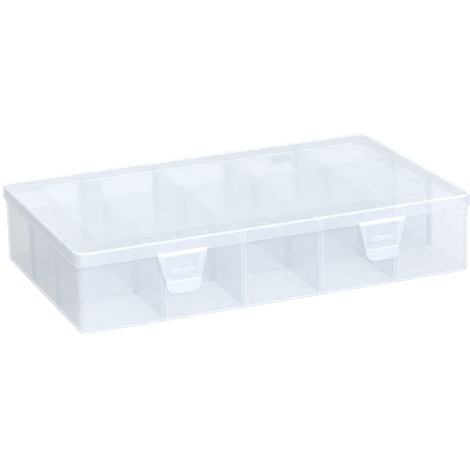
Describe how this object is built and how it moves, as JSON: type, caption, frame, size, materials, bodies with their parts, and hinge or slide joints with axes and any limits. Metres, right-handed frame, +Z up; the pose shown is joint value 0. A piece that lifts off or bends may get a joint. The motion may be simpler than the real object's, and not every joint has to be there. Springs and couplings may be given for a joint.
{
  "type": "parts sorting tray",
  "caption": "Shallow clear plastic box with a grid of small compartments, a rear-hinged lid and snap latches at the front.",
  "frame": {"origin": "middle of the tray's flat underside", "axes": "+X along the length, -Y towards the latches, +Z up"},
  "size_m": [0.275, 0.1724, 0.054],
  "materials": {
    "tray_plastic": "clear moulded polypropylene, glossy",
    "lid_plastic": "clear moulded polypropylene with a hazy middle panel",
    "latch_plastic": "moulded polypropylene, satin",
    "divider_plastic": "clear moulded polypropylene",
    "web_plastic": "polypropylene whitened by bending"
  },
  "bodies": {
    "tray": {"tray": "tray_plastic", "long_divider_front": "divider_plastic", "long_divider_back": "divider_plastic", "divider_front_1": "divider_plastic", "divider_front_2": "divider_plastic", "divider_front_3": "divider_plastic", "divider_front_4": "divider_plastic", "divider_middle_1": "divider_plastic", "divider_middle_2": "divider_plastic", "divider_middle_3": "divider_plastic", "divider_middle_4": "divider_plastic", "divider_back_1": "divider_plastic", "divider_back_2": "divider_plastic", "divider_back_3": "divider_plastic", "divider_back_4": "divider_plastic"},
    "lid": {"lid": "lid_plastic", "latch_web_left": "web_plastic", "latch_web_right": "web_plastic"},
    "latch_left": {"latch_left": "latch_plastic"},
    "latch_right": {"latch_right": "latch_plastic"}
  },
  "joints": [
    {"name": "lid_hinge", "type": "hinge", "parent": "tray", "child": "lid", "pos_m": [0, 0.08428, 0.04182], "axis": [-1, 0, 0], "range_deg": [0, 180]},
    {"name": "latch_left_hinge", "type": "hinge", "parent": "lid", "child": "latch_left", "pos_m": [-0.069, -0.08265, 0.0453], "axis": [-1, 0, 0], "range_deg": [0, 110]},
    {"name": "latch_right_hinge", "type": "hinge", "parent": "lid", "child": "latch_right", "pos_m": [0.069, -0.08265, 0.0453], "axis": [-1, 0, 0], "range_deg": [0, 110]}
  ]
}
